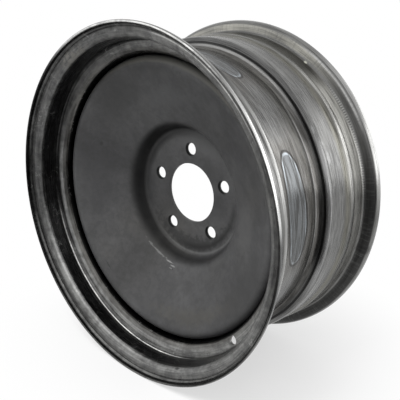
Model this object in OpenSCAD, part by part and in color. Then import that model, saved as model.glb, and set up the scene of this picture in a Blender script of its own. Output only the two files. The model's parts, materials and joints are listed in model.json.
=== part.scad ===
// Bare steel road wheel: a roll-formed rim hoop with a pressed disc welded into its drop centre.
// The wheel turns about Y, its front faces -Y, and the origin is the middle of its width on the axle line.

/* [Rim] */
// Diameter of the bead seats at the tyre flanges
bead_diameter = 436.6; // [410:0.1:510]
// Width between the tyre faces of the two flanges
rim_width = 203.2; // [190:0.1:260]
// Thickness of the rim sheet
rim_sheet = 3.2; // [2.4:0.1:4]
// Radius on the cut edges of the two lips
lip_edge = 1; // [0.3:0.1:1.1]

/* [Flanges] */
// Height of a flange above its bead seat
flange_height = 17.5; // [16.5:0.1:22]
// Width of a flange outside its tyre face
flange_lip = 11.4; // [10:0.1:15]
// Radius of the flange's roll on the tyre side
flange_roll = 9.5; // [6:0.1:9.8]
// Radius between the flange and its bead seat
heel_round = 6.5; // [4:0.1:7]

/* [Bead seats] */
// Width of a bead seat, from its flange to its hump
seat_width = 21; // [18:0.1:24]
// Slope of a bead seat, in degrees
seat_slope = 5; // [3:0.5:7]
// Height of the hump above the low end of its bead seat
hump_height = 1.2; // [0.5:0.1:2]
// Distance in which the bead seat rises to its hump
hump_run = 5; // [4:0.1:8]
// Width of the rear hump's top
hump_width = 5; // [4:0.1:8]
// Width of the front hump's top, up to the drop centre's front wall
crest_width = 8.7; // [8.2:0.1:12]
// Radius at the foot and the top of the hump
hump_round = 5; // [2:0.1:6]

/* [Drop centre] */
// Depth of the drop centre below the bead seats
well_depth = 19.7; // [18.6:0.1:25]
// Width of the drop centre's floor
well_width = 86.8; // [76:0.1:90]
// Slope of the drop centre's walls, in degrees
wall_slope = 82; // [64:0.5:86]
// Radius between the floor and its walls, on the tyre side
well_round = 8.8; // [5:0.1:10]
// Radius at the top of the walls, on the axle side
bend_round = 5; // [2:0.1:5.6]
// Depth of the rear ledge below the bead seats
ledge_drop = 3.8; // [2.4:0.1:4.6]
// Distance in which the rear ledge rises to its hump
ledge_run = 5; // [4:0.1:8]

/* [Valve hole] */
// Diameter of the valve hole
valve_diameter = 11.5; // [8:0.1:12.5]
// Distance of the valve hole down the front wall from its hump
valve_reach = 12.4; // [10:0.1:13.4]
// Place of the valve hole round the wheel, in degrees from +X towards +Z
valve_angle = 313.5; // [0:0.5:359.5]

/* [Disc] */
// Thickness of the disc sheet
disc_sheet = 5; // [3.5:0.1:6]
// Distance from the rear lip to the face that seats on the hub
backspace = 101.6; // [90:0.1:112]
// Radius of the flat hub pad at the foot of its step
pad_radius = 92.5; // [86:0.1:98]
// Radius between the hub pad and its step
pad_round = 7; // [3:0.1:9]
// Height of the step round the hub pad
step_height = 23.4; // [20:0.1:30]
// Distance in which the step widens
step_run = 8; // [5:0.1:12]
// Radius at the top of the step
step_round = 22; // [12:0.1:24]
// Slope of the disc's face, in degrees
face_slope = 28; // [20:0.5:32]
// Radius of the disc's turned-back edge
edge_round = 11; // [8:0.1:14]
// Length of the disc's flange behind its turned-back edge
flange_length = 26; // [18:0.1:34]
// Clearance between the disc's flange and the drop centre
flange_clearance = 0.1; // [0.05:0.05:0.3]

/* [Hub holes] */
// Diameter of the centre bore
bore_diameter = 85.7; // [60:0.1:95]
// Diameter of the circle of nut holes
bolt_circle = 127; // [118:0.1:140]
// Number of nut holes
bolt_count = 5; // [4:1:6]
// Diameter of a nut hole
bolt_hole = 16.4; // [12:0.1:18]
// Diameter of the cone seat at the front of a nut hole
seat_mouth = 19.4; // [18.2:0.1:21]
// Full angle of the cone seat, in degrees
seat_angle = 60; // [50:1:90]
// Place of the first nut hole round the wheel, in degrees
bolt_angle = 90; // [0:1:359]

/* [Welds] */
// Number of weld runs that hold the disc in the rim
weld_count = 5; // [3:1:6]
// Length of a weld run round the wheel, in degrees
weld_sweep = 32; // [15:1:45]
// Leg of the weld's fillet
weld_leg = 4.5; // [2.5:0.1:4.9]
// Place of the first weld run round the wheel, in degrees
weld_angle = 7; // [0:1:359]

/* [Hidden] */
$fn = 144;
// Largest turn of one chord where an outline is rounded, in degrees
chord_turn = 15;
// Extra reach of a cutter past the faces that it cuts
cut_over = 1;

seat_r = bead_diameter / 2;
flange_r = seat_r + flange_height;
hump_r = seat_r - seat_width * tan(seat_slope) + hump_height;
well_r = seat_r - well_depth;
ledge_r = seat_r - ledge_drop;
well_inside_r = well_r - rim_sheet;
disc_r = well_inside_r - flange_clearance;

tyre_face = rim_width / 2;
lip_face = tyre_face + flange_lip;
hump_start = seat_width + hump_run;
front_hump = hump_start + crest_width - tyre_face;
rear_hump = tyre_face - hump_start - hump_width;
floor_front = front_hump + (hump_r - well_r) / tan(wall_slope);
floor_rear = floor_front + well_width;
ledge_front = floor_rear + (ledge_r - well_r) / tan(wall_slope);

hub_face = lip_face - backspace;
pad_face = hub_face - disc_sheet;
step_r = pad_radius + step_run;
step_face = pad_face - step_height;
edge_face = step_face - (disc_r - step_r) * tan(face_slope);
flange_start = edge_face + edge_round * tan((90 + face_slope) / 2);
flange_end = flange_start + flange_length;

// Paths are lists of [along the axle, radius, rounding]: a sheet lies on the right of its path.
// One edge of the hoop from its lip to its hump, by distance inwards from its tyre face
function bead_path() = [
    [-flange_lip, flange_r, 0],
    [0, flange_r, flange_roll],
    [0, seat_r, heel_round],
    [seat_width, seat_r - seat_width * tan(seat_slope), hump_round],
    [hump_start, hump_r, hump_round]];

function rim_path() = concat(
    [for (p = bead_path()) [p[0] - tyre_face, p[1], p[2]]],
    [[front_hump, hump_r, bend_round + rim_sheet],
     [floor_front, well_r, well_round],
     [floor_rear, well_r, well_round],
     [ledge_front, ledge_r, bend_round + rim_sheet],
     [rear_hump - ledge_run, ledge_r, hump_round],
     [rear_hump, hump_r, hump_round]],
    [for (i = [len(bead_path()) - 1 : -1 : 0]) let (p = bead_path()[i]) [tyre_face - p[0], p[1], p[2]]]);

function disc_path() = [
    [pad_face, bore_diameter / 2, 0],
    [pad_face, pad_radius, pad_round],
    [step_face, step_r, step_round],
    [edge_face, disc_r, edge_round],
    [flange_end, disc_r, 0]];

function place(p) = [p[0], p[1]];
function along(heading) = [cos(heading), sin(heading)];
function heading(a, b) = atan2(b[1] - a[1], b[0] - a[0]);
function half_turn(turn) = turn > 180 ? turn - 360 : turn < -180 ? turn + 360 : turn;

// The points of the rounded corner b between a and c, each with the path's heading there
function rounded_corner(a, b, c) =
    let (start = heading(a, b),
         turn = half_turn(heading(b, c) - start),
         steps = ceil(abs(turn) / chord_turn),
         first = place(b) - b[2] * tan(abs(turn) / 2) * along(start),
         centre = first + sign(turn) * b[2] * along(start + 90))
    [for (i = [0 : steps])
        let (now = start + turn * i / steps)
        [centre - sign(turn) * b[2] * along(now + 90), now]];

function path_points(path) =
    let (last = len(path) - 1)
    concat([[place(path[0]), heading(path[0], path[1])]],
           [for (i = [1 : last - 1]) each rounded_corner(path[i - 1], path[i], path[i + 1])],
           [[place(path[last]), heading(path[last - 1], path[last])]]);

// The cut end of a sheet, from its left side to its right, with both edges rounded
function sheet_end(left, heading, thick, edge) =
    let (back = left - edge * along(heading),
         steps = ceil(90 / chord_turn))
    edge == 0 ? [left, left - thick * along(heading + 90)] :
    [for (inset = [edge, thick - edge], i = [0 : steps])
        let (from = inset == edge ? 90 : 0)
        back - inset * along(heading + 90) + edge * along(heading + from - 90 * i / steps)];

// The closed outline of a sheet whose left side follows a path
function sheet_outline(path, thick, edge) =
    let (run = path_points(path),
         last = len(run) - 1,
         right = [for (p = run) p[0] - thick * along(p[1] + 90)])
    concat([for (i = [1 : last - 1]) run[i][0]],
           sheet_end(run[last][0], run[last][1], thick, edge),
           [for (i = [last - 1 : -1 : 1]) right[i]],
           sheet_end(right[0], run[0][1] + 180, thick, edge));

module at_angle(angle) {
    rotate([0, -angle, 0]) children();
}

// Turns an outline of [radius, along the axle] about the axle line
module turned(sweep = 360) {
    rotate([-90, 0, 0]) rotate_extrude(angle = sweep) children();
}

module sheet_of(path, thick, edge) {
    turned() polygon([for (p = sheet_outline(path, thick, edge)) [p[1], p[0]]]);
}

// A hole along the axle through the sheet between two faces
module axle_hole(diameter, front, rear) {
    translate([0, front - cut_over, 0])
        rotate([-90, 0, 0])
            cylinder(d = diameter, h = rear - front + 2 * cut_over);
}

// The hole square to the front wall of the drop centre
module valve_hole() {
    centre = [front_hump, hump_r] + valve_reach * along(-wall_slope);
    at_angle(valve_angle)
        translate([centre[1], centre[0], 0])
            rotate([0, 0, wall_slope - 90])
                rotate([90, 0, 0])
                    translate([0, 0, -well_round])
                        cylinder(d = valve_diameter, h = well_round + rim_sheet + cut_over);
}

module rim_hoop() {
    color("darkgray") difference() {
        sheet_of(rim_path(), rim_sheet, lip_edge);
        valve_hole();
    }
}

// A nut hole with its cone seat at the front
module nut_hole() {
    seat_depth = (seat_mouth - bolt_hole) / 2 / tan(seat_angle / 2);
    over = cut_over * tan(seat_angle / 2);
    axle_hole(bolt_hole, pad_face, hub_face);
    translate([0, pad_face - cut_over, 0])
        rotate([-90, 0, 0])
            cylinder(d1 = seat_mouth + 2 * over, d2 = bolt_hole, h = seat_depth + cut_over);
}

module wheel_disc() {
    color("dimgray") difference() {
        sheet_of(disc_path(), disc_sheet, 0);
        for (i = [0 : bolt_count - 1])
            at_angle(bolt_angle + 360 * i / bolt_count)
                translate([bolt_circle / 2, 0, 0]) nut_hole();
    }
}

// A fillet about +X between the end of the disc's flange and the drop centre, run out at both ends
module weld_bead() {
    half_length = well_inside_r * sin(weld_sweep / 2);
    intersection() {
        at_angle(weld_sweep / 2)
            turned(weld_sweep)
                translate([well_inside_r, flange_end])
                    intersection() {
                        circle(r = weld_leg);
                        translate([-weld_leg, 0]) square(weld_leg);
                    }
        rotate([0, -90, 0])
            translate([0, flange_end, -well_r])
                linear_extrude(well_r)
                    polygon([[-half_length, 0], [half_length, 0],
                             [half_length - weld_leg, weld_leg], [weld_leg - half_length, weld_leg]]);
    }
}

module weld_run(index) {
    color("gray") at_angle(weld_angle + 360 * (index - 1) / weld_count) weld_bead();
}

rim_hoop();
wheel_disc();
for (i = [1 : weld_count])
    weld_run(i);
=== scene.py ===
import json
import math

import bmesh
import bpy
from mathutils import Matrix, Vector, noise


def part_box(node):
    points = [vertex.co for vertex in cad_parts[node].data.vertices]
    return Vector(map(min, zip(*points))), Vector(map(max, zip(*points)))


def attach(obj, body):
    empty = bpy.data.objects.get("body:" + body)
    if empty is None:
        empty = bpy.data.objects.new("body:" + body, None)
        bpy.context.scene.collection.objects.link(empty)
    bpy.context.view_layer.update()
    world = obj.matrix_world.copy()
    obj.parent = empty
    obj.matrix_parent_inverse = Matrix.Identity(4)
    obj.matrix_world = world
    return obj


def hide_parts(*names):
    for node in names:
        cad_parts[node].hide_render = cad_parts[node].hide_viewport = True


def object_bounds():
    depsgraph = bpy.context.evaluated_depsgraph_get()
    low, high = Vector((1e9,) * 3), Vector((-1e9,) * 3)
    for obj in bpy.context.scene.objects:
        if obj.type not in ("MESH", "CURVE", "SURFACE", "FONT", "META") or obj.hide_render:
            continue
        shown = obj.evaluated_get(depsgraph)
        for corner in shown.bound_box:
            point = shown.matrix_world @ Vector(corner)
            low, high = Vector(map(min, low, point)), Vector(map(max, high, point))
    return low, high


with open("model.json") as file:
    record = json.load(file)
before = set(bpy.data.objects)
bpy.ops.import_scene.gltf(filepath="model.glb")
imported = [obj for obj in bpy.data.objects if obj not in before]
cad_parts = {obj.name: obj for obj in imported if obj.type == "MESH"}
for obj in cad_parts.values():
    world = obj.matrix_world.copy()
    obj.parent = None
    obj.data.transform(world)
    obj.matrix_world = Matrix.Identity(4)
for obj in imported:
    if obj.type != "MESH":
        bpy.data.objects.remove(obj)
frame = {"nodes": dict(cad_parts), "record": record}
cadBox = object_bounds()
mounts = {mount["name"]: mount for mount in frame["record"]["mounts"]}
print("frame:", len(frame["nodes"]), "nodes")


# outlines read from the frame, as (radius, along the axle) points in metres

def seamOutline(nodeName, close=1e-6):
    mesh = bmesh.new()
    mesh.from_mesh(frame["nodes"][nodeName].data)
    bmesh.ops.remove_doubles(mesh, verts=mesh.verts, dist=close)
    seam = [v for v in mesh.verts if abs(v.co.z) < close and v.co.x > 0]
    inSeam = set(seam)
    links = {v: [e.other_vert(v) for e in v.link_edges if e.other_vert(v) in inSeam] for v in seam}
    loose = [v for v in seam if len(links[v]) == 1]
    while loose:  # a flat face has no seam of its own, so its two ends are joined here
        end = loose.pop()
        mate = min((v for v in loose if v not in links[end]), key=lambda v: abs(v.co.y - end.co.y))
        loose.remove(mate)
        links[end].append(mate)
        links[mate].append(end)
    walk = [seam[0], links[seam[0]][0]]
    while True:
        ahead = next(v for v in links[walk[-1]] if v is not walk[-2])
        if ahead is walk[0]:
            break
        walk.append(ahead)
    points = [Vector((v.co.x, v.co.y)) for v in walk]
    mesh.free()
    area = sum(a.x * b.y - b.x * a.y for a, b in zip(points, points[1:] + points[:1]))
    return points if area > 0 else points[::-1]


def turnAt(before, here, after):
    a, b = here - before, after - here
    return math.atan2(a.x * b.y - a.y * b.x, a.dot(b))


outlineLook = {"sharpTurn": math.radians(50), "leastBend": math.radians(3), "shortest": 0.0006}


# breaks the sharp corners and bends the chords of round stretches into smooth curves
def finishOutline(points, pieces, edgeBreak):
    broken = []
    for i, here in enumerate(points):
        before, after = points[i - 1], points[(i + 1) % len(points)]
        if abs(turnAt(before, here, after)) < outlineLook["sharpTurn"]:
            broken.append(here)
            continue
        start = here + (before - here).normalized() * edgeBreak
        end = here + (after - here).normalized() * edgeBreak
        for t in (0, 0.25, 0.5, 0.75, 1):
            broken.append(start.lerp(here, t).lerp(here.lerp(end, t), t))
    count = len(broken)
    chords = [broken[(i + 1) % count] - broken[i] for i in range(count)]
    headings = []
    for i in range(count):  # the longer chord rules the heading where a straight stretch meets a bend
        a, b = chords[i - 1], chords[i]
        headings.append((a * a.length + b * b.length).normalized())
    smooth = []
    for i, chord in enumerate(chords):
        a, b = broken[i], broken[(i + 1) % count]
        smooth.append(a)
        bend = headings[i].angle(headings[(i + 1) % count], 0)
        if chord.length < outlineLook["shortest"] or bend < outlineLook["leastBend"]:
            continue
        pullA = headings[i] * chord.length
        pullB = headings[(i + 1) % count] * chord.length
        for k in range(1, pieces):
            t = k / pieces
            t2, t3 = t * t, t * t * t
            smooth.append(a * (2 * t3 - 3 * t2 + 1) + pullA * (t3 - 2 * t2 + t)
                          + b * (3 * t2 - 2 * t3) + pullB * (t3 - t2))
    return smooth


def addObject(name, data):
    added = bpy.data.objects.new(name, data)
    bpy.context.scene.collection.objects.link(added)
    return added


def meshObject(name, mesh):
    data = bpy.data.meshes.new(name)
    bmesh.ops.recalc_face_normals(mesh, faces=mesh.faces)
    mesh.to_mesh(data)
    mesh.free()
    return addObject(name, data)


def newPiece(name, mesh, slotName, *replaced):
    piece = meshObject(name, mesh)
    for face in piece.data.polygons:
        face.use_smooth = True
    if replaced:
        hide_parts(*replaced)
    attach(piece, "root")
    return piece


# faces between rings of points, each ring closed in itself
def skin(mesh, rings):
    for ring, following in zip(rings, rings[1:]):
        for i in range(len(ring)):
            j = (i + 1) % len(ring)
            mesh.faces.new((ring[i], ring[j], following[j], following[i]))


def turnOutline(outline, segments):
    mesh = bmesh.new()
    rings = []
    for k in range(segments):
        angle = 2 * math.pi * k / segments
        c, s = math.cos(angle), math.sin(angle)
        rings.append([mesh.verts.new((p.x * c, p.y, p.x * s)) for p in outline])
    skin(mesh, rings + rings[:1])
    return mesh


# a round cutter about an axis through a place, from (radius, along) points
def cutterAt(place, axis, profile, segments=72):
    mesh = bmesh.new()
    bars = []
    for k in range(segments):
        angle = 2 * math.pi * k / segments
        bars.append([mesh.verts.new((r * math.cos(angle), r * math.sin(angle), z)) for r, z in profile])
    for bar, following in zip(bars, bars[1:] + bars[:1]):
        for i in range(len(profile) - 1):
            mesh.faces.new((bar[i], following[i], following[i + 1], bar[i + 1]))
    mesh.faces.new([bar[0] for bar in bars])
    mesh.faces.new([bar[-1] for bar in bars])
    cutter = meshObject("cutter", mesh)
    turn = Vector((0, 0, 1)).rotation_difference(Vector(axis)).to_matrix().to_4x4()
    cutter.matrix_world = Matrix.Translation(place) @ turn
    return cutter


def drill(piece, cutter):
    cut = piece.modifiers.new("drill", "BOOLEAN")
    cut.operation = "DIFFERENCE"
    cut.solver = "EXACT"
    cut.object = cutter
    bpy.context.view_layer.objects.active = piece
    bpy.ops.object.modifier_apply(modifier=cut.name)
    bpy.data.objects.remove(cutter)


def markSharp(piece, angle=math.radians(32)):
    piece.data.set_sharp_from_angle(angle=angle)


# rim hoop

rimLook = {"bendPieces": 3, "edgeBreak": 0.0005, "segments": 192}


def makeRimHoop():
    outline = finishOutline(seamOutline("rim_hoop"), rimLook["bendPieces"], rimLook["edgeBreak"])
    piece = newPiece("rimHoop", turnOutline(outline, rimLook["segments"]), "rolled_steel", "rim_hoop")
    valve = mounts["valve_hole"]
    radius, reach = (valve["dims"][size] / 1000 for size in ("r_mm", "length_mm"))
    drill(piece, cutterAt(valve["pos_m"], valve["axis"], [(radius, -reach), (radius, reach)]))
    markSharp(piece)
    print("rim hoop:", len(outline), "outline points,", len(piece.data.polygons), "faces")
    return piece


# wheel disc

discLook = {"bendPieces": 4, "edgeBreak": 0.0006, "segments": 192, "seatMouth": 0.0097,
            "seatHalfAngle": math.radians(30), "backBreak": 0.0005, "past": 0.002}


def makeWheelDisc():
    outline = finishOutline(seamOutline("wheel_disc"), discLook["bendPieces"], discLook["edgeBreak"])
    piece = newPiece("wheelDisc", turnOutline(outline, discLook["segments"]), "scaled_steel", "wheel_disc")
    holes = mounts["nut_holes"]["dims"]
    circle, radius, count = holes["pcd_mm"] / 2000, holes["hole_r_mm"] / 1000, holes["count"]
    back = mounts["hub_pad"]["pos_m"][1]
    front = back - mounts["hub_bore"]["dims"]["length_mm"] / 1000
    mouth, past, edge = discLook["seatMouth"], discLook["past"], discLook["backBreak"]
    slope = math.tan(discLook["seatHalfAngle"])
    profile = [(mouth + past * slope, front - past), (radius, front + (mouth - radius) / slope),
               (radius, back - edge), (radius + edge + past, back + past)]
    for k in range(count):
        angle = math.pi / 2 + 2 * math.pi * k / count
        place = (circle * math.cos(angle), 0, circle * math.sin(angle))
        drill(piece, cutterAt(place, (0, 1, 0), profile))
    markSharp(piece)
    print("wheel disc:", len(outline), "outline points,", len(piece.data.polygons), "faces")
    return piece


# weld runs: a rippled fillet in each corner between the disc's flange and the drop centre

weldLook = {"ripplePitch": 0.0024, "rippleDepth": 0.05, "crescent": 0.0016, "steps": 8, "profileSteps": 12,
            "uneven": 0.05, "unevenAlong": 120, "unevenRound": 3, "endTaper": 0.006, "endSize": 0.02,
            "growth": 0.93, "sharp": math.radians(60)}


def makeWeldRun(nodeName):
    look = weldLook
    low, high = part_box(nodeName)
    corners = [v.co for v in frame["nodes"][nodeName].data.vertices]
    wallRadius = max(math.hypot(c.x, c.z) for c in corners)
    leg = high.y - low.y
    middle = sum((Vector((c.x, c.z)) for c in corners), Vector((0, 0)))
    centre = math.atan2(middle.y, middle.x)
    half = max((math.atan2(c.z, c.x) - centre + math.pi) % (2 * math.pi) - math.pi for c in corners)
    length = 2 * half * wallRadius
    steps = int(length / look["ripplePitch"] * look["steps"])
    mesh = bmesh.new()
    rings = []
    for k in range(steps + 1):
        along = length * k / steps
        angle = centre - half + 2 * half * k / steps
        nearEnd = min(1, min(along, length - along) / look["endTaper"])
        taper = math.sqrt(max(0.0, 1 - (1 - nearEnd) ** 2)) * look["growth"] + look["endSize"]
        spot = Vector((along * look["unevenAlong"], centre * look["unevenRound"], 0))
        uneven = 1 + look["uneven"] * noise.noise(spot)
        ring = [mesh.verts.new((wallRadius * math.cos(angle), low.y, wallRadius * math.sin(angle)))]
        for i in range(look["profileSteps"] + 1):
            lean = math.pi / 2 * i / look["profileSteps"]
            phase = along - look["crescent"] * math.sin(2 * lean)
            wave = abs(math.sin(math.pi * phase / look["ripplePitch"]))
            size = leg * taper * uneven * (1 - look["rippleDepth"] * (1 - wave) * math.sin(2 * lean))
            size = min(size, leg)
            radius = wallRadius - size * math.sin(lean)
            ring.append(mesh.verts.new((radius * math.cos(angle), low.y + size * math.cos(lean),
                                        radius * math.sin(angle))))
        rings.append(ring)
    skin(mesh, rings)
    mesh.faces.new(rings[0])
    mesh.faces.new(rings[-1])
    piece = newPiece("weldRun" + nodeName[-1], mesh, "weld_metal", nodeName)
    markSharp(piece, look["sharp"])
    return piece, centre


rimHoop = makeRimHoop()
wheelDisc = makeWheelDisc()
weldNodes = sorted(name for name in frame["nodes"] if name.startswith("weld_run_"))
weldRuns = [makeWeldRun(name) for name in weldNodes]
print("weld runs:", len(weldRuns))


# shader helpers: numbers and colours are set on a socket, anything else is wired to it

def newGroup(name, inputs, outputs):
    group = bpy.data.node_groups.new(name, "ShaderNodeTree")
    for label, value in inputs.items():
        socket = group.interface.new_socket(label, in_out="INPUT", socket_type="NodeSocketFloat")
        socket.default_value = value
    for label in outputs:
        kind = "NodeSocketColor" if label == "Colour" else "NodeSocketFloat"
        group.interface.new_socket(label, in_out="OUTPUT", socket_type=kind)
    return group, group.nodes.new("NodeGroupInput").outputs, group.nodes.new("NodeGroupOutput").inputs


def wire(tree, source, target):
    tree.links.new(source, target)


def feed(tree, socket, value):
    if isinstance(value, tuple):
        socket.default_value = (*value, 1)
    elif isinstance(value, (int, float)):
        socket.default_value = value
    else:
        wire(tree, value, socket)


def maths(tree, operation, *values, clamp=False):
    node = tree.nodes.new("ShaderNodeMath")
    node.operation = operation
    node.use_clamp = clamp
    for socket, value in zip(node.inputs, values):
        feed(tree, socket, value)
    return node.outputs[0]


def plus(tree, first, second):
    return maths(tree, "ADD", first, second)


def less(tree, first, second):
    return maths(tree, "SUBTRACT", first, second)


def ratio(tree, first, second):
    return maths(tree, "DIVIDE", first, second)


def times(tree, product, *others):
    for other in others:
        product = maths(tree, "MULTIPLY", product, other)
    return product


def weigh(tree, share, first, second):
    return plus(tree, times(tree, first, share), times(tree, second, 1 - share))


def span(tree, x, y):
    return maths(tree, "SQRT", plus(tree, times(tree, x, x), times(tree, y, y)))


def turnedFrom(tree, angle, centre, half=math.pi):
    return maths(tree, "WRAP", less(tree, angle, centre), half, -half)


def fade(tree, value, limits, lowOut=0.0, highOut=1.0):
    node = tree.nodes.new("ShaderNodeMapRange")
    node.interpolation_type = "SMOOTHSTEP"
    for label, amount in zip(("From Min", "From Max", "To Min", "To Max"), (*limits, lowOut, highOut)):
        node.inputs[label].default_value = amount
    wire(tree, value, node.inputs["Value"])
    return node.outputs[0]


def blendValue(tree, factor, first, second):
    node = tree.nodes.new("ShaderNodeMix")
    for place, value in ((0, factor), (2, first), (3, second)):
        feed(tree, node.inputs[place], value)
    return node.outputs[0]


def blendColour(tree, factor, first, second, mode="MIX"):
    node = tree.nodes.new("ShaderNodeMix")
    node.data_type = "RGBA"
    node.blend_type = mode
    for place, value in ((0, factor), (6, first), (7, second)):
        feed(tree, node.inputs[place], value)
    return node.outputs[2]


def tinted(tree, colour, tone):
    return blendColour(tree, 1.0, colour, tone, "MULTIPLY")


def ramp(tree, factor, stops):
    node = tree.nodes.new("ShaderNodeValToRGB")
    while len(node.color_ramp.elements) < len(stops):
        node.color_ramp.elements.new(0.5)
    for element, (place, colour) in zip(node.color_ramp.elements, stops):
        element.position = place
        element.color = colour
    wire(tree, factor, node.inputs[0])
    return node


def grain(tree, vector, scale, detail=3.0, roughness=0.55, distortion=0.0):
    node = tree.nodes.new("ShaderNodeTexNoise")
    node.inputs["Scale"].default_value = scale
    node.inputs["Detail"].default_value = detail
    node.inputs["Roughness"].default_value = roughness
    node.inputs["Distortion"].default_value = distortion
    wire(tree, vector, node.inputs["Vector"])
    return node.outputs[0]


def joinXYZ(tree, *values):
    node = tree.nodes.new("ShaderNodeCombineXYZ")
    for socket, value in zip(node.inputs, values):
        feed(tree, socket, value)
    return node.outputs[0]


def placeGroup(tree, group, **values):
    node = tree.nodes.new("ShaderNodeGroup")
    node.node_tree = group
    for label, value in values.items():
        feed(tree, node.inputs[label], value)
    return node.outputs


def objectPlace(tree):
    return tree.nodes.new("ShaderNodeTexCoord").outputs["Object"]


# where a point lies on the wheel: angle about the axle, radius and place along the axle in metres,
# and its side: above 0 on the tyre's side of the hoop, below 0 on the axle's side
def makeWheelPlace():
    inwardShare = -0.5  # facing the middle of the width counts half as much as facing outward
    group, _, out = newGroup("wheelPlace", {}, ("Angle", "Radius", "Axle", "Side"))
    coords = group.nodes.new("ShaderNodeTexCoord").outputs
    place, facing = (group.nodes.new("ShaderNodeSeparateXYZ") for _ in range(2))
    wire(group, coords["Object"], place.inputs[0])
    wire(group, coords["Normal"], facing.inputs[0])
    x, y, z = place.outputs
    faceX, faceY, faceZ = facing.outputs
    radius = span(group, x, z)
    outward = ratio(group, plus(group, times(group, faceX, x), times(group, faceZ, z)), radius)
    inwards = times(group, maths(group, "SIGN", y), times(group, faceY, inwardShare))
    wire(group, maths(group, "ARCTAN2", z, x), out["Angle"])
    wire(group, radius, out["Radius"])
    wire(group, y, out["Axle"])
    wire(group, plus(group, outward, inwards), out["Side"])
    return group


wheelPlace = makeWheelPlace()


# a stripe with soft edges: 1 where a value lies between two limits
def makeStripe():
    group, inp, out = newGroup("stripe", {"Value": 0.0, "Low": 0.0, "High": 1.0, "Soft": 0.001}, ["Mask"])

    def pastEdge(ahead, behind):
        steps = ratio(group, less(group, ahead, behind), inp["Soft"])
        return maths(group, "ADD", steps, 0.5, clamp=True)

    rise, fall = pastEdge(inp["Value"], inp["Low"]), pastEdge(inp["High"], inp["Value"])
    wire(group, times(group, rise, fall), out["Mask"])
    return group


stripe = makeStripe()


def inStripe(tree, value, limits, soft):
    return placeGroup(tree, stripe, Value=value, Low=limits[0], High=limits[1], Soft=soft)[0]


# a stretch round the wheel about an angle, with soft ends
def makeSector():
    endFade = (0.55, 1.1)  # as shares of the half
    group, inp, out = newGroup("sector", {"Centre": 0.0, "Half": 0.5}, ["Mask"])
    turned = turnedFrom(group, placeGroup(group, wheelPlace)["Angle"], inp["Centre"])
    away = ratio(group, maths(group, "ABSOLUTE", turned), inp["Half"])
    wire(group, fade(group, away, endFade, 1.0, 0.0), out["Mask"])
    return group


sector = makeSector()


def inSector(tree, turn):
    middle, half = (math.radians(angle) for angle in turn)
    return placeGroup(tree, sector, Centre=middle, Half=half)[0]


# noise drawn out round the wheel: fine lines and broader bands left by the forming rolls, and short
# strokes across them; each has its shares of the length and fineness, and its detail
rollLook = {"slant": 1.7, "roughness": 0.65,
            "drawn": {"Lines": (1.0, 1.0, 4.0), "Bands": (0.4, 0.25, 3.0), "Strokes": (16.0, 0.035, 3.0)}}


def makeRollLines():
    group, inp, out = newGroup("rollLines", {"Fine": 900.0, "Length": 3.0}, rollLook["drawn"])
    place = placeGroup(group, wheelPlace)
    c, s = maths(group, "COSINE", place["Angle"]), maths(group, "SINE", place["Angle"])
    across = plus(group, place["Axle"], times(group, place["Radius"], rollLook["slant"]))
    for label, (lengthShare, fineShare, detail) in rollLook["drawn"].items():
        length, fine = times(group, inp["Length"], lengthShare), times(group, inp["Fine"], fineShare)
        sizes = ((c, length), (across, fine), (s, length))
        vector = joinXYZ(group, *(times(group, value, size) for value, size in sizes))
        wire(group, grain(group, vector, 1.0, detail, rollLook["roughness"]), out[label])
    return group


rollLines = makeRollLines()


# oblong heat mark of each weld: rings of colour about an outline, their strength, and streaks inside;
# a ring's place is half its distance from the middle, so the outline lies at 0.5
heatLook = {"halfLength": 0.072, "halfWidth": 0.0188, "shift": -0.0012, "lean": -0.05, "fullness": 2.5,
            "streaksAcross": 5.0, "streaksAlong": 22.0, "wobbleScale": 60.0,
            "rings": [(0.0, (0.098, 0.102, 0.104, 0.88)), (0.34, (0.092, 0.096, 0.099, 0.88)),
                      (0.38, (0.23, 0.249, 0.263, 0.90)), (0.42, (0.23, 0.249, 0.263, 0.90)),
                      (0.445, (0.085, 0.084, 0.082, 0.90)), (0.468, (0.036, 0.034, 0.032, 0.96)),
                      (0.512, (0.036, 0.034, 0.032, 0.96)), (0.535, (0.095, 0.091, 0.085, 0.75)),
                      (0.66, (0.100, 0.094, 0.085, 0.55)), (0.85, (0.14, 0.137, 0.130, 0.28)),
                      (1.0, (0.16, 0.16, 0.155, 0.0))],
            "floorFrom": (0.197, 0.198), "floorTo": (0.200, 0.206),
            "toneFade": (0.38, 0.62), "toneDark": (0.50, 0.49, 0.47), "tonePale": (1.65, 1.67, 1.70)}


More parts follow.
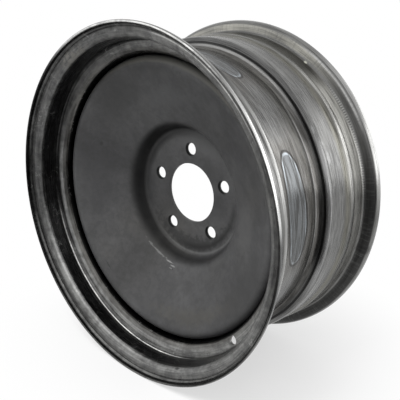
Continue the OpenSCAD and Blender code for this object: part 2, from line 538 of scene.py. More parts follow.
def makeHeatMark():
    look = heatLook
    group, inp, out = newGroup("heatMark", {"Wander": 0.12}, ("Colour", "Tint", "Streaks"))
    place = placeGroup(group, wheelPlace)
    weldAxle = sum(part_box(weldNodes[0]), Vector()).y / 2 + look["shift"]
    turned = turnedFrom(group, place["Angle"], weldRuns[0][1], math.pi / len(weldRuns))
    local = times(group, turned, place["Radius"])
    middle = plus(group, times(group, local, look["lean"]), weldAxle)
    across = ratio(group, less(group, place["Axle"], middle), look["halfWidth"])
    farAcross = maths(group, "ABSOLUTE", across)
    farAlong = maths(group, "ABSOLUTE", ratio(group, local, look["halfLength"]))
    fullness = look["fullness"]
    reach = plus(group, *(maths(group, "POWER", far, fullness) for far in (farAcross, farAlong)))
    reach = maths(group, "POWER", reach, 1 / fullness)
    # the outline keeps its width at the ends: its step is divided by how steep the oval is there
    slender = look["halfWidth"] / look["halfLength"]
    steepAlong = times(group, maths(group, "POWER", farAlong, fullness - 1), slender)
    steep = span(group, steepAlong, maths(group, "POWER", farAcross, fullness - 1))
    steep = maths(group, "MAXIMUM", steep, slender)
    reach = plus(group, ratio(group, less(group, reach, 1.0), steep), 1.0)
    wobble = less(group, grain(group, objectPlace(group), look["wobbleScale"], 3.0), 0.5)
    reach = plus(group, reach, times(group, wobble, inp["Wander"]))
    colours = ramp(group, times(group, reach, 0.5), look["rings"])
    streak = joinXYZ(group, times(group, across, look["streaksAcross"]),
                     times(group, local, look["streaksAlong"]), place["Angle"])
    wire(group, grain(group, streak, 1.0, 3.0, 0.6), out["Streaks"])
    wire(group, colours.outputs["Color"], out["Colour"])
    wire(group, colours.outputs["Alpha"], out["Tint"])
    return group


heatMark = makeHeatMark()


# dull patches, smudges and thin curling scratches from handling
handlingLook = {"smudgeScale": 2.3, "smudgeFade": (0.58, 0.70), "curlScale": 5.5,
                "curlWidth": (0.004, 0.014), "whereScale": 3.1, "whereFade": (0.52, 0.62)}


def makeHandling():
    look = handlingLook
    group, inp, out = newGroup("handling", {"Scale": 9.0, "Seed": 0.0}, ("Patches", "Smudges", "Scratches"))
    shift, sized = (group.nodes.new("ShaderNodeVectorMath") for _ in range(2))
    shift.operation = "ADD"
    sized.operation = "SCALE"
    wire(group, objectPlace(group), shift.inputs[0])
    wire(group, joinXYZ(group, inp["Seed"], inp["Seed"], 0.0), shift.inputs[1])
    wire(group, shift.outputs[0], sized.inputs[0])
    wire(group, inp["Scale"], sized.inputs["Scale"])
    vector = sized.outputs[0]
    smudges = grain(group, vector, look["smudgeScale"], 3.0, 0.5, distortion=0.8)
    curl = less(group, grain(group, vector, look["curlScale"], 1.5, 0.5, distortion=1.2), 0.5)
    curl = fade(group, maths(group, "ABSOLUTE", curl), look["curlWidth"], 1.0, 0.0)
    where = fade(group, grain(group, vector, look["whereScale"], 2.0), look["whereFade"])
    wire(group, grain(group, vector, 1.0, 4.0, 0.55, distortion=0.4), out["Patches"])
    wire(group, fade(group, smudges, look["smudgeFade"]), out["Smudges"])
    wire(group, times(group, curl, where), out["Scratches"])
    return group


handling = makeHandling()


# one ragged mark about an angle and a second value, such as radius or place along the axle
def makeSmear():
    raggedScale, edgeFade = 140.0, (0.35, 1.0)
    inputs = {"Across": 0.0, "Angle At": 0.0, "Across At": 0.1, "Half Round": 0.1, "Half Across": 0.01,
              "Ragged": 0.6}
    group, inp, out = newGroup("smear", inputs, ["Mask"])
    turned = turnedFrom(group, placeGroup(group, wheelPlace)["Angle"], inp["Angle At"])
    away = span(group, ratio(group, turned, inp["Half Round"]),
                ratio(group, less(group, inp["Across"], inp["Across At"]), inp["Half Across"]))
    uneven = less(group, grain(group, objectPlace(group), raggedScale, 3.0, 0.6), 0.5)
    away = plus(group, away, times(group, uneven, inp["Ragged"]))
    wire(group, fade(group, away, edgeFade, 1.0, 0.0), out["Mask"])
    return group


smear = makeSmear()


def addMarks(tree, colour, across, marks):
    for mark in marks:
        mask = placeGroup(tree, smear, **{
            "Across": across, "Angle At": math.radians(mark["angle"]), "Across At": mark["at"],
            "Half Round": math.radians(mark["round"]), "Half Across": mark["half"],
            "Ragged": mark.get("ragged", 0.6)})[0]
        colour = blendColour(tree, times(tree, mask, mark["mix"]), colour, mark["colour"])
    return colour


def grey(tone):
    return (tone, tone, tone)


def newMaterial(name, metallic):
    material = bpy.data.materials.new(name)
    material.use_nodes = True
    tree = material.node_tree
    shader = tree.nodes["Principled BSDF"]
    shader.inputs["Metallic"].default_value = metallic
    return material, tree, shader


def bumpFrom(tree, shader, height, bump):
    node = tree.nodes.new("ShaderNodeBump")
    node.inputs["Strength"].default_value = bump["strength"]
    node.inputs["Distance"].default_value = bump["distance"]
    wire(tree, height, node.inputs["Height"])
    wire(tree, node.outputs[0], shader.inputs["Normal"])


rolledSteel = {"dark": (0.080, 0.080, 0.078), "pale": (0.25, 0.25, 0.246), "olive": (0.150, 0.148, 0.138),
               "fine": 620.0, "length": 7.0, "lineShare": 0.68, "streakFade": (0.37, 0.63),
               "markScale": 11.0, "markSeed": 0.3, "oliveFade": (0.45, 0.72), "oliveMost": 0.4,
               "roughShare": 0.6, "roughFade": (0.32, 0.68), "roughLow": 0.20, "roughHigh": 0.36,
               "anisotropy": 0.45, "anisotropyTurn": 0.25, "sideFade": (-0.1, 0.1),
               "toneFade": (0.30, 0.70), "toneDark": grey(0.62), "tonePale": grey(1.30),
               "bump": {"strength": 0.25, "distance": 0.0004}}

# stripes of the hoop, by place along the axle and some by radius, in metres; turn limits a stripe to a
# stretch round the wheel, as its middle and half in degrees; these are on the axle's side
axleBands = [
    {"axle": (-0.114, -0.1121), "soft": 0.0006, "colour": (0.13, 0.13, 0.128), "mix": 0.9},  # front lip
    # painted highlight: the front lip's edge white over the top, a reflection of bright sky
    {"axle": (-0.114, -0.1121), "soft": 0.0006, "colour": (0.95, 0.95, 0.94), "mix": 0.95,
     "turn": (88, 42)},
    # painted dark reflection: the front lip's edge near black over the left
    {"axle": (-0.114, -0.1121), "soft": 0.0006, "colour": grey(0.026), "mix": 0.9, "turn": (174, 56)},
    # painted shade: the curl of the front lip near black all round
    {"axle": (-0.1119, -0.108), "soft": 0.0008, "colour": grey(0.014), "mix": 0.92},
    {"axle": (-0.1077, -0.1059), "soft": 0.0006, "colour": (0.17, 0.17, 0.168), "mix": 0.85},
    # painted shadow: the tip of the front lip black over the right
    {"axle": (-0.1126, -0.1078), "soft": 0.0006, "colour": grey(0.005), "mix": 0.95, "turn": (-36, 36)},
    {"axle": (-0.114, -0.1124), "radius": (0.229, 0.2342), "soft": 0.0006, "colour": grey(0.008),
     "mix": 0.95, "turn": (-36, 36)},
    # painted shade: a dark line in the hollow where the curl meets the flange
    {"axle": (-0.1058, -0.105), "soft": 0.0005, "colour": grey(0.03), "mix": 0.8},
    {"axle": (-0.1049, -0.104), "soft": 0.0006, "colour": (0.13, 0.13, 0.129), "mix": 0.8, "rough": 0.42,
     "scatter": 0.35},
    # painted highlight: a thin white line on the front flange over the upper right
    {"axle": (-0.106, -0.104), "radius": (0.225, 0.2264), "soft": 0.0006, "colour": (0.6, 0.6, 0.59),
     "mix": 0.85, "turn": (55, 28)},
    {"axle": (-0.1042, -0.0985), "soft": 0.0014, "colour": (0.24, 0.24, 0.237), "mix": 0.85,
     "rough": 0.42, "scatter": 0.35},
    # painted light: the heel of the front flange paler over the lower left, where light falls on it
    {"axle": (-0.1006, -0.0955), "soft": 0.0014, "colour": (0.42, 0.42, 0.415), "mix": 0.9,
     "scatter": 0.6, "turn": (-125, 42)},
    # painted shade: the inside of the bead seat near black all round, as it reflects the dark inside of the
    # wheel
    {"axle": (-0.0948, -0.0757), "soft": 0.002, "colour": (0.044, 0.044, 0.045), "mix": 0.9},  # bead seat
    {"axle": (-0.0757, -0.0694), "soft": 0.0006, "colour": (0.13, 0.13, 0.129), "mix": 0.8},  # hump
    # painted shade: the hump darker from the top round to the lower left
    {"axle": (-0.0757, -0.0694), "soft": 0.0006, "colour": grey(0.035), "mix": 0.85, "turn": (145, 80)},
    # a burnished line, with painted highlight: bright over the lower left only
    {"axle": (-0.0748, -0.0728), "soft": 0.0006, "colour": (0.9, 0.9, 0.89), "mix": 0.95, "scatter": 1,
     "turn": (-120, 54)},
    {"axle": (-0.0694, -0.0652), "soft": 0.0008, "colour": (0.24, 0.24, 0.236), "mix": 0.8, "rough": 0.42,
     "scatter": 0.4, "broken": "Patches"},
    # painted light: the front wall's foot paler over the left and bottom
    {"axle": (-0.069, -0.0678), "soft": 0.0004, "colour": (0.34, 0.34, 0.335), "mix": 0.8, "scatter": 0.7,
     "turn": (-140, 75)},
    # painted shade: the groove between the rim and the disc near black
    {"axle": (-0.064, -0.045), "soft": 0.0024, "colour": grey(0.006), "mix": 0.98}]  # groove

# and these on the tyre's side
tyreBands = [
    {"axle": (-0.114, 0.114), "radius": (0.2346, 0.24), "soft": 0.0008, "colour": (0.2, 0.2, 0.195),
     "mix": 0.85, "rough": 0.22},  # both lips
    # burnished in part, and painted highlight: the front lip's outside bright over the right
    {"axle": (-0.114, -0.1), "radius": (0.2346, 0.24), "soft": 0.0008, "colour": (0.75, 0.75, 0.74),
     "mix": 0.9, "turn": (18, 32)},
    # painted highlight: the rear lip paler over the upper right
    {"axle": (0.1, 0.114), "radius": (0.2339, 0.24), "soft": 0.0008, "colour": (0.4, 0.4, 0.393),
     "mix": 0.9, "turn": (28, 28)},
    # painted shade: the front lip's outside dark at the right
    {"axle": (-0.114, -0.103), "radius": (0.2346, 0.24), "soft": 0.0008, "colour": grey(0.05), "mix": 0.9,
     "turn": (-5, 14)},
    # painted highlight: a pale line on the front hump over the right
    {"axle": (-0.077, -0.069), "soft": 0.002, "colour": (0.42, 0.42, 0.41), "mix": 0.7, "turn": (8, 46)},
    # painted shadow: the front hump and the floor behind the lip dark over the top
    {"axle": (-0.086, -0.069), "soft": 0.002, "colour": (0.022, 0.022, 0.021), "mix": 0.95,
     "turn": (78, 32)},
    {"axle": (-0.06, -0.0275), "soft": 0.003, "colour": (0.06, 0.059, 0.055), "mix": 0.6,
     "turn": (66, 22)},
    {"axle": (0.004, 0.012), "soft": 0.008, "colour": (0.19, 0.186, 0.16), "mix": 0.45},  # end of the floor
    # a burnished line at the end of the floor, with painted highlight over the right
    {"axle": (0.0095, 0.015), "soft": 0.003, "colour": (0.3, 0.3, 0.29), "mix": 0.6, "scatter": 0.5,
     "turn": (5, 40)},
    {"axle": (0.0125, 0.0185), "soft": 0.002, "colour": (0.19, 0.187, 0.17), "mix": 0.6, "turn": (64, 30)},
    # a thin burnished line, with painted highlight over the right
    {"axle": (0.0157, 0.0174), "soft": 0.0007, "colour": (0.62, 0.62, 0.61), "mix": 0.95, "scatter": 0.8,
     "turn": (5, 40)},
    # painted shade: the back wall of the drop centre dark all round, and wider and darker over the lower
    # right
    {"axle": (0.0185, 0.0234), "soft": 0.001, "colour": grey(0.075), "mix": 0.7},  # back wall
    {"axle": (0.011, 0.024), "soft": 0.004, "colour": grey(0.026), "mix": 0.75, "turn": (-28, 26)},
    # painted highlight: a thin bright line at the foot of the ledge over the top
    {"axle": (0.0219, 0.0235), "soft": 0.0008, "colour": (0.31, 0.31, 0.306), "mix": 0.9, "scatter": 0.7,
     "turn": (68, 32)},
    # painted shade: a dark line in the crease under the ledge, and the ledge's bend darker over the top
    {"axle": (0.0235, 0.0242), "radius": (0.205, 0.209), "soft": 0.0004, "colour": grey(0.02), "mix": 0.9},
    {"axle": (0.0242, 0.0275), "soft": 0.0014, "colour": grey(0.1), "mix": 0.7, "turn": (70, 40)},
    # painted highlight on the ledge's bend over the right
    {"axle": (0.0246, 0.0285), "soft": 0.0014, "colour": grey(0.36), "mix": 0.7, "scatter": 0.4,
     "turn": (0, 34)},
    {"axle": (0.06, 0.069), "soft": 0.006, "colour": (0.165, 0.158, 0.125), "mix": 0.55},  # rear hump
    # a pale stripe on the rear hump, with painted highlight over the upper right
    {"axle": (0.07, 0.079), "soft": 0.0016, "colour": (0.56, 0.555, 0.53), "mix": 0.75, "broken": "Bands",
     "scatter": 0.3, "turn": (28, 30)},
    {"axle": (0.0775, 0.0975), "soft": 0.003, "colour": (0.26, 0.257, 0.24), "mix": 0.75, "scatter": 0.45},
    # painted light and shade on the rear heel: paler over the upper right, dark over the top
    {"axle": (0.0775, 0.0975), "soft": 0.003, "colour": (0.42, 0.415, 0.385), "mix": 0.8, "scatter": 0.6,
     "broken": "Bands", "turn": (30, 24)},
    {"axle": (0.079, 0.0985), "soft": 0.003, "colour": (0.034, 0.033, 0.028), "mix": 0.88,
     "turn": (70, 26)},
    {"axle": (0.099, 0.109), "radius": (0.2205, 0.2325), "soft": 0.0014, "colour": (0.155, 0.155, 0.151),
     "mix": 0.9, "rough": 0.4, "scatter": 0.3},  # rear flange
    # painted light and shade on the rear flange: paler over the top, dark over the right, and a painted
    # highlight at the upper right
    {"axle": (0.099, 0.109), "radius": (0.222, 0.2305), "soft": 0.0024, "colour": (0.36, 0.353, 0.318),
     "mix": 1, "rough": 0.45, "scatter": 0.6, "broken": "Patches", "turn": (94, 54)},
    {"axle": (0.099, 0.109), "radius": (0.2205, 0.2335), "soft": 0.0014, "colour": (0.034, 0.034, 0.033),
     "mix": 0.9, "turn": (-26, 54)},
    {"axle": (0.102, 0.1034), "radius": (0.2296, 0.232), "soft": 0.0006, "colour": (0.5, 0.5, 0.49),
     "mix": 0.8, "turn": (44, 18)}]

# how far a broken stripe fades, and what is left of it
brokenLook = {"Bands": {"fade": (0.35, 0.6), "least": 0.5},
              "Patches": {"fade": (0.35, 0.62), "least": 0.45}}

# single marks on the hoop: angle and reach round the wheel in degrees, place and half width along the axle
rimMarks = [
    {"angle": -13.8, "round": 2.6, "at": 0.1035, "half": 0.006, "colour": grey(0.02), "mix": 0.5},
    {"angle": 56.4, "round": 0.9, "at": 0.0984, "half": 0.002, "colour": (0.6, 0.6, 0.52), "mix": 0.9},
    # painted highlights: pale ragged spots on the ledge over the upper right
    {"angle": 31, "round": 1.6, "at": 0.0262, "half": 0.0014, "colour": grey(0.4), "mix": 0.5,
     "ragged": 2},
    {"angle": 26, "round": 1.2, "at": 0.031, "half": 0.0018, "colour": grey(0.42), "mix": 0.4,
     "ragged": 2},
    {"angle": 21, "round": 3.2, "at": 0.034, "half": 0.004, "colour": grey(0.4), "mix": 0.35,
     "ragged": 2.4},
    {"angle": 11, "round": 2.4, "at": 0.0335, "half": 0.0036, "colour": grey(0.36), "mix": 0.35,
     "ragged": 2.4},
    {"angle": 120, "round": 9, "at": -0.101, "half": 0.005, "colour": (0.3, 0.29, 0.26), "mix": 0.5,
     "ragged": 2.2},
    {"angle": -70, "round": 1.5, "at": -0.1005, "half": 0.0022, "colour": grey(0.02), "mix": 0.7}]

# ticks on the rear bead heel, worn away in places
knurl = {"count": 400, "axle": (0.0980, 0.1005), "soft": 0.0008, "tickFade": (0.0, 0.7),
         "colour": (0.44, 0.44, 0.42), "mix": 0.75, "wornFade": (0.40, 0.56), "wornLeast": 0.25,
         "turn": (25, 22)}
# oil and dust mottle on the axle's side, and painted shade darkening one stretch over the left
grimeAndShadeLook = {"fine": 120.0, "coarse": 30.0, "fineShare": 0.6, "fade": (0.36, 0.62), "dark": grey(0.66),
             "pale": (1.22, 1.22, 1.20), "leftShade": (0.74, 0.74, 0.75), "leftShadeTurn": (150, 70)}
# strokes across both flanges, and scratches on the front of the axle's side
strokeLook = {"radius": (0.2195, 0.2325), "soft": 0.002, "fade": (0.52, 0.66), "mix": 0.5,
              "colour": (0.13, 0.13, 0.128)}
scratchLook = {"axle": (-0.108, -0.062), "soft": 0.002, "mix": 0.6, "colour": (0.40, 0.40, 0.39)}


def makeRolledSteel():
    look = rolledSteel
    material, tree, shader = newMaterial("rolledSteel", 1.0)
    shader.inputs["Anisotropic"].default_value = look["anisotropy"]
    shader.inputs["Anisotropic Rotation"].default_value = look["anisotropyTurn"]
    tangent = tree.nodes.new("ShaderNodeTangent")
    tangent.direction_type = "RADIAL"
    tangent.axis = "Y"
    wire(tree, tangent.outputs[0], shader.inputs["Tangent"])
    angle, radius, axle, facing = placeGroup(tree, wheelPlace)
    spot = objectPlace(tree)
    lines = placeGroup(tree, rollLines, Fine=look["fine"], Length=look["length"])
    marks = placeGroup(tree, handling, Scale=look["markScale"], Seed=look["markSeed"])
    patches = marks["Patches"]
    streaks = weigh(tree, look["lineShare"], lines["Lines"], lines["Bands"])
    colour = blendColour(tree, fade(tree, streaks, look["streakFade"]), look["dark"], look["pale"])
    olive = fade(tree, patches, look["oliveFade"], 0.0, look["oliveMost"])
    colour = blendColour(tree, olive, colour, look["olive"])
    rough = weigh(tree, look["roughShare"], streaks, patches)
    rough = fade(tree, rough, look["roughFade"], look["roughLow"], look["roughHigh"])
    onTyreSide = fade(tree, facing, look["sideFade"])
    onAxleSide = fade(tree, facing, look["sideFade"], 1.0, 0.0)
    breaks = {"Bands": lines["Bands"], "Patches": patches}
    for label, broken in brokenLook.items():
        breaks[label] = fade(tree, breaks[label], broken["fade"], broken["least"], 1.0)
    ownTone = blendColour(tree, fade(tree, streaks, look["toneFade"]), look["toneDark"], look["tonePale"])
    metal = 1.0
    sided = [(onAxleSide, band) for band in axleBands] + [(onTyreSide, band) for band in tyreBands]
    for side, band in sided:
        mask = inStripe(tree, axle, band["axle"], band["soft"])
        if "radius" in band:
            mask = times(tree, mask, inStripe(tree, radius, band["radius"], band["soft"]))
        mask = times(tree, mask, side, band["mix"])
        if "turn" in band:
            mask = times(tree, mask, inSector(tree, band["turn"]))
        if "broken" in band:
            mask = times(tree, mask, breaks[band["broken"]])
        colour = blendColour(tree, mask, colour, tinted(tree, band["colour"], ownTone))
        if "rough" in band:
            rough = blendValue(tree, mask, rough, band["rough"])
        if "scatter" in band:
            metal = maths(tree, "SUBTRACT", metal, times(tree, mask, band["scatter"]), clamp=True)
    wire(tree, metal, shader.inputs["Metallic"])
    grime = weigh(tree, grimeAndShadeLook["fineShare"], grain(tree, spot, grimeAndShadeLook["fine"], 4.0, 0.65),
                  grain(tree, spot, grimeAndShadeLook["coarse"], 3.0, 0.6, distortion=0.8))
    dirt = blendColour(tree, fade(tree, grime, grimeAndShadeLook["fade"]), grimeAndShadeLook["dark"], grimeAndShadeLook["pale"])
    # painted shade: one stretch over the left darkened
    leftShade = blendColour(tree, inSector(tree, grimeAndShadeLook["leftShadeTurn"]), grey(1.0), grimeAndShadeLook["leftShade"])
    colour = blendColour(tree, onAxleSide, colour, tinted(tree, tinted(tree, colour, dirt), leftShade))
    ticks = fade(tree, maths(tree, "SINE", times(tree, angle, knurl["count"])), knurl["tickFade"])
    inKnurl = inStripe(tree, axle, knurl["axle"], knurl["soft"])
    patchy = fade(tree, patches, knurl["wornFade"], knurl["wornLeast"] * knurl["mix"], knurl["mix"])
    ticks = times(tree, ticks, inKnurl, onTyreSide, inSector(tree, knurl["turn"]), patchy)
    colour = blendColour(tree, ticks, colour, knurl["colour"])
    strokes = inStripe(tree, radius, strokeLook["radius"], strokeLook["soft"])
    strokes = times(tree, strokes, fade(tree, lines["Strokes"], strokeLook["fade"], 0.0, strokeLook["mix"]))
    colour = blendColour(tree, strokes, colour, strokeLook["colour"])
    colour = addMarks(tree, colour, axle, rimMarks)
    inFront = inStripe(tree, axle, scratchLook["axle"], scratchLook["soft"])
    scratches = times(tree, marks["Scratches"], inFront, onAxleSide, scratchLook["mix"])
    colour = blendColour(tree, scratches, colour, scratchLook["colour"])
    heat = placeGroup(tree, heatMark)
    onFloor = times(tree, fade(tree, radius, heatLook["floorFrom"]),
                    fade(tree, radius, heatLook["floorTo"], 1.0, 0.0))
    inStreaks = fade(tree, heat["Streaks"], heatLook["toneFade"])
    heatTone = blendColour(tree, inStreaks, heatLook["toneDark"], heatLook["tonePale"])
    heated = tinted(tree, heat["Colour"], heatTone)
    colour = blendColour(tree, times(tree, heat["Tint"], onFloor), colour, heated)
    wire(tree, colour, shader.inputs["Base Color"])
    wire(tree, rough, shader.inputs["Roughness"])
    bumpFrom(tree, shader, streaks, look["bump"])
    return material


scaledSteel = {"dark": (0.040, 0.040, 0.041), "pale": (0.066, 0.066, 0.067), "warm": (0.062, 0.060, 0.054),
               "markScale": 8.0, "markSeed": 1.7, "patchFade": (0.3, 0.7), "smudgeMix": 0.25,
               "warmScale": 5.0, "warmFade": (0.5, 0.75), "warmMost": 0.6, "roughLow": 0.42,
               "roughHigh": 0.58, "mottle": (150.0, 45.0), "mottleFade": (0.38, 0.62),
               "mottleDark": grey(0.85), "mottlePale": grey(1.15), "ringFade": (0.38, 0.6),
               "ringLeast": 0.6, "bumpScale": 900.0, "bump": {"strength": 0.12, "distance": 0.0003}}

# single marks on the disc: angle and reach round the wheel in degrees, radius and half width in metres
discMarks = [
    {"angle": 156, "round": 1.8, "at": 0.1486, "half": 0.003, "colour": (0.018, 0.018, 0.019), "mix": 0.8},
    {"angle": -133, "round": 4, "at": 0.172, "half": 0.0012, "colour": grey(0.022), "mix": 0.7},
    {"angle": -116, "round": 15, "at": 0.104, "half": 0.0013, "colour": (0.19, 0.19, 0.187), "mix": 0.65,
     "ragged": 3},
    {"angle": -101, "round": 4.2, "at": 0.1052, "half": 0.001, "colour": (0.26, 0.26, 0.256), "mix": 0.8,
     "ragged": 1.6},
    {"angle": -96, "round": 4, "at": 0.1082, "half": 0.0011, "colour": (0.24, 0.24, 0.236), "mix": 0.8,
     "ragged": 1.8},
    {"angle": -97, "round": 3, "at": 0.1118, "half": 0.0009, "colour": (0.2, 0.2, 0.197), "mix": 0.7,
     "ragged": 1.8},
    {"angle": -95, "round": 1, "at": 0.112, "half": 0.0016, "colour": grey(0.015), "mix": 0.7},
    {"angle": 91, "round": 2.6, "at": 0.145, "half": 0.001, "colour": (0.11, 0.11, 0.108), "mix": 0.7,
     "ragged": 1.2},
    {"angle": -14.5, "round": 7, "at": 0.133, "half": 0.015, "colour": (0.08, 0.08, 0.079), "mix": 0.5,
     "ragged": 2.4},
    {"angle": 122, "round": 26, "at": 0.16, "half": 0.03, "colour": grey(0.034), "mix": 0.6},
    {"angle": 92, "round": 24, "at": 0.138, "half": 0.016, "colour": (0.078, 0.078, 0.08), "mix": 0.5,
     "ragged": 1},
    # painted light and shade: the hub pad paler over the top, darker over the bottom
    {"angle": 80, "round": 60, "at": 0.076, "half": 0.022, "colour": (0.09, 0.09, 0.091), "mix": 0.6},
    {"angle": -88, "round": 75, "at": 0.077, "half": 0.015, "colour": grey(0.017), "mix": 0.75,
     "ragged": 2},
    {"angle": -70, "round": 34, "at": 0.165, "half": 0.014, "colour": (0.072, 0.069, 0.06), "mix": 0.45,
     "ragged": 2},
    {"angle": -32, "round": 26, "at": 0.172, "half": 0.03, "colour": grey(0.036), "mix": 0.55},
    {"angle": -4, "round": 22, "at": 0.129, "half": 0.024, "colour": grey(0.092), "mix": 0.55,
     "ragged": 0.8},
    {"angle": 176, "round": 32, "at": 0.15, "half": 0.04, "colour": (0.038, 0.038, 0.04), "mix": 0.4},
    # painted highlight: the disc's rounded edge paler over the top
    {"angle": 78, "round": 66, "at": 0.189, "half": 0.0056, "colour": (0.135, 0.132, 0.116), "mix": 0.75,
     "ragged": 0.4},
    # painted shade: the hub pad darker over the lower left
    {"angle": -115, "round": 30, "at": 0.074, "half": 0.012, "colour": grey(0.032), "mix": 0.6,
     "ragged": 2.4}]

# painted shade: dark walls and cone seats of the nut holes
nutSeat = {"circle": 0.0635, "count": 5, "first": math.pi / 2, "fade": (0.0092, 0.0102),
           "colour": grey(0.005)}
# the turned-back edge, painted dark in front as shade in the gap to the rim, and the heat marks on the
# flange behind it
discEdge = {"fade": (0.1918, 0.1945), "front": (-0.040, -0.030), "colour": grey(0.008)}
flangeHeat = {"fade": (0.1895, 0.1905), "wander": 0.15, "mix": 0.5}
# rings of the disc by radius: a painted highlight on the corner of the hub pad over the bottom, and painted
# shade in the foot of the step, darker over the left, and along the pad's edge over the lower right
discBands = [
    {"radius": (0.088, 0.0906), "soft": 0.0014, "colour": (0.115, 0.115, 0.114), "mix": 0.5,
     "turn": (-60, 80)},
    {"radius": (0.093, 0.1), "soft": 0.0065, "colour": grey(0.008), "mix": 0.75},
    {"radius": (0.091, 0.102), "soft": 0.007, "colour": grey(0.004), "mix": 0.85, "turn": (158, 92)},
    {"radius": (0.084, 0.0925), "soft": 0.008, "colour": grey(0.012), "mix": 0.75, "turn": (140, 66)},
    {"radius": (0.077, 0.0832), "soft": 0.007, "colour": grey(0.006), "mix": 0.9, "turn": (-52, 56)}]


def makeScaledSteel():
    look = scaledSteel
    material, tree, shader = newMaterial("scaledSteel", 0.0)
    angle, radius, axle, _ = placeGroup(tree, wheelPlace)
    spot = objectPlace(tree)
    marks = placeGroup(tree, handling, Scale=look["markScale"], Seed=look["markSeed"])
    patches = marks["Patches"]
    colour = blendColour(tree, fade(tree, patches, look["patchFade"]), look["dark"], look["pale"])
    warm = fade(tree, grain(tree, spot, look["warmScale"], 2.0), look["warmFade"], 0.0, look["warmMost"])
    colour = blendColour(tree, warm, colour, look["warm"])
    colour = blendColour(tree, times(tree, marks["Smudges"], look["smudgeMix"]), colour, look["dark"])
    fine, wide = (grain(tree, spot, scale, 4.0, 0.65, distortion=0.6) for scale in look["mottle"])
    mottle = fade(tree, weigh(tree, 0.5, fine, wide), look["mottleFade"])
    colour = tinted(tree, colour, blendColour(tree, mottle, look["mottleDark"], look["mottlePale"]))
    colour = addMarks(tree, colour, radius, discMarks)
    # painted highlight and painted shade rings, broken up in patches
    for band in discBands:
        patchy = fade(tree, patches, look["ringFade"], look["ringLeast"] * band["mix"], band["mix"])
        ring = times(tree, inStripe(tree, radius, band["radius"], band["soft"]), patchy)
        if "turn" in band:
            ring = times(tree, ring, inSector(tree, band["turn"]))
        colour = blendColour(tree, ring, colour, band["colour"])
    # painted shade in the walls and cone seats of the nut holes
    turned = turnedFrom(tree, angle, nutSeat["first"], math.pi / nutSeat["count"])
    sideways = times(tree, radius, maths(tree, "SINE", turned))
    outward = less(tree, times(tree, radius, maths(tree, "COSINE", turned)), nutSeat["circle"])
    inSeat = fade(tree, span(tree, sideways, outward), nutSeat["fade"], 1.0, 0.0)
    colour = blendColour(tree, inSeat, colour, nutSeat["colour"])
    # painted shade: the turned-back edge dark in front, in the gap to the rim
    gapShade = times(tree, fade(tree, radius, discEdge["fade"]), fade(tree, axle, discEdge["front"], 1.0, 0.0))
    colour = blendColour(tree, gapShade, colour, discEdge["colour"])
    heat = placeGroup(tree, heatMark, Wander=flangeHeat["wander"])
    flange = times(tree, fade(tree, radius, flangeHeat["fade"]),
                   fade(tree, axle, discEdge["front"]))
    colour = blendColour(tree, times(tree, heat["Tint"], flange, flangeHeat["mix"]), colour, heat["Colour"])
    wire(tree, colour, shader.inputs["Base Color"])
    rough = fade(tree, patches, look["patchFade"], look["roughHigh"], look["roughLow"])
    wire(tree, rough, shader.inputs["Roughness"])
    bumpFrom(tree, shader, grain(tree, spot, look["bumpScale"], 3.0, 0.6), look["bump"])
    return material


weldMetal = {"dark": (0.16, 0.15, 0.145), "pale": (0.42, 0.41, 0.40), "mottle": 260.0, "fade": (0.35, 0.65),
             "roughFade": (0.3, 0.7), "roughLow": 0.30, "roughHigh": 0.50,
             "bump": {"strength": 0.15, "distance": 0.0003}}


def makeWeldMetal():
    look = weldMetal
    material, tree, shader = newMaterial("weldMetal", 1.0)
    mottle = grain(tree, objectPlace(tree), look["mottle"], 3.0, 0.6)
    colour = blendColour(tree, fade(tree, mottle, look["fade"]), look["dark"], look["pale"])
    wire(tree, colour, shader.inputs["Base Color"])
    rough = fade(tree, mottle, look["roughFade"], look["roughLow"], look["roughHigh"])
    wire(tree, rough, shader.inputs["Roughness"])
    bumpFrom(tree, shader, mottle, look["bump"])
    return material


def dress(piece, material):
    piece.data.materials.clear()
    piece.data.materials.append(material)


dress(rimHoop, makeRolledSteel())
dress(wheelDisc, makeScaledSteel())
weldMaterial = makeWeldMetal()
for run, _ in weldRuns:
    dress(run, weldMaterial)
print("materials:", len(bpy.data.materials))


# studio: pale floor, soft lamps, and dark flags in front that only the metal sees

studio = {"floorHalf": 6.0, "floorColour": grey(0.9), "shadow": (0.09, 0.40), "nearGlow": 0.58,
          "skyLight": 0.36, "flagLift": 0.003}


def backgroundRay(tree):
    path = tree.nodes.new("ShaderNodeLightPath")
    seen = maths(tree, "MAXIMUM", path.outputs["Is Camera Ray"], path.outputs["Is Glossy Ray"])
    return maths(tree, "MAXIMUM", seen, path.outputs["Is Transmission Ray"])


def makeFloor():
    material = bpy.data.materials.new("paleFloor")
    material.use_nodes = True
    tree = material.node_tree
    tree.nodes.remove(tree.nodes["Principled BSDF"])
    matt = tree.nodes.new("ShaderNodeBsdfDiffuse")
    matt.inputs["Color"].default_value = (*studio["floorColour"], 1)
    glow = tree.nodes.new("ShaderNodeEmission")
    mix = tree.nodes.new("ShaderNodeMixShader")
    parts = tree.nodes.new("ShaderNodeSeparateXYZ")
    wire(tree, objectPlace(tree), parts.inputs[0])
    share = fade(tree, span(tree, *parts.outputs[:2]), studio["shadow"], studio["nearGlow"], 1.0)
    wire(tree, times(tree, backgroundRay(tree), share), mix.inputs[0])
    wire(tree, matt.outputs[0], mix.inputs[1])
    wire(tree, glow.outputs[0], mix.inputs[2])
    wire(tree, mix.outputs[0], tree.nodes["Material Output"].inputs["Surface"])
    half, level = studio["floorHalf"], cadBox[0][2]
    data = bpy.data.meshes.new("floor")
    corners = [(x * half, y * half, level) for x, y in ((-1, -1), (1, -1), (1, 1), (-1, 1))]
    data.from_pydata(corners, [], [(0, 1, 2, 3)])
    data.materials.append(material)
    floor = addObject("floor", data)


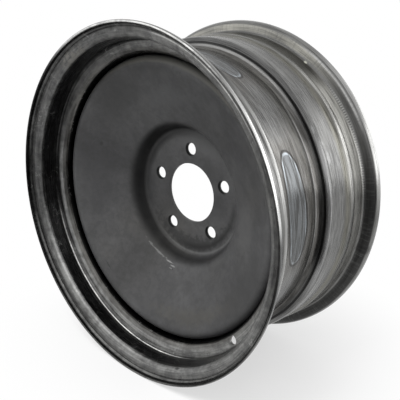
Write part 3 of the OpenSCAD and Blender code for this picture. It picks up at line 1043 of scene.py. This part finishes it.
def makeSky():
    world = bpy.data.worlds.new("studio")
    bpy.context.scene.world = world
    world.use_nodes = True
    tree = world.node_tree
    background = tree.nodes["Background"]
    level = plus(tree, times(tree, backgroundRay(tree), 1 - studio["skyLight"]), studio["skyLight"])
    wire(tree, level, background.inputs["Strength"])
    background.inputs["Color"].default_value = (1, 1, 1, 1)


def addLamp(name, azimuth, elevation, width, height, power, distance=2.0, glossy=True):
    data = bpy.data.lights.new(name, "AREA")
    data.shape = "RECTANGLE"
    data.size = width
    data.size_y = height
    data.energy = power
    lamp = addObject(name, data)
    lamp.visible_glossy = glossy
    turn, up = math.radians(azimuth), math.radians(elevation)
    place = Vector((math.cos(turn) * math.cos(up), math.sin(turn) * math.cos(up), math.sin(up))) * distance
    lamp.location = place
    lamp.rotation_euler = (-place).to_track_quat("-Z", "Y").to_euler()


# a card round the front of the studio: over the floor from near to far, then up to its top
def addFlag(name, fromDegrees, toDegrees, near, far, top, tone, steps=24):
    material, _, shader = newMaterial(name, 0.0)
    shader.inputs["Base Color"].default_value = (tone, tone, tone, 1)
    shader.inputs["Roughness"].default_value = 1.0
    shader.inputs["Specular IOR Level"].default_value = 0.0
    level = cadBox[0][2] + studio["flagLift"]
    corners, faces = [], []
    for k in range(steps + 1):
        angle = math.radians(fromDegrees + (toDegrees - fromDegrees) * k / steps)
        c, s = math.cos(angle), math.sin(angle)
        corners += [(near * c, near * s, level), (far * c, far * s, level), (far * c, far * s, top)]
        if k:
            i = 3 * k
            faces += [(i - 3, i - 2, i + 1, i), (i - 2, i - 1, i + 2, i + 1)]
    data = bpy.data.meshes.new(name)
    data.from_pydata(corners, [], faces)
    data.materials.append(material)
    flag = addObject(name, data)
    flag.visible_camera = False
    flag.visible_diffuse = False
    flag.visible_shadow = False


makeFloor()
makeSky()
addLamp("backLamp", azimuth=60, elevation=15, width=1.5, height=1.0, power=8.5)
addLamp("sideLamp", azimuth=8, elevation=15, width=1.4, height=1.0, power=7.5)
addLamp("fillLamp", azimuth=-98, elevation=55, width=1.0, height=1.0, power=40, glossy=False)
addFlag("flagLeft", fromDegrees=-185, toDegrees=-112, near=0.30, far=1.3, top=-0.1, tone=0.42)
addFlag("flagRight", fromDegrees=-112, toDegrees=-8, near=0.34, far=1.3, top=0.05, tone=0.11)
print("studio: floor, lamps and flags")


# camera where the photograph was taken from

cameraLook = {"place": (0.5391, -0.5670, 0.2296), "tilt": math.pi / 2 - 0.2963, "turn": 0.7379,
              "lens": 51.716, "sensor": 36.0}


def addCamera():
    data = bpy.data.cameras.new("camera")
    data.sensor_width = cameraLook["sensor"]
    data.lens = cameraLook["lens"]
    camera = addObject("camera", data)
    camera.location = cameraLook["place"]
    camera.rotation_euler = (cameraLook["tilt"], 0, cameraLook["turn"])
    bpy.context.scene.camera = camera


addCamera()
bpy.context.scene.view_settings.view_transform = "Standard"
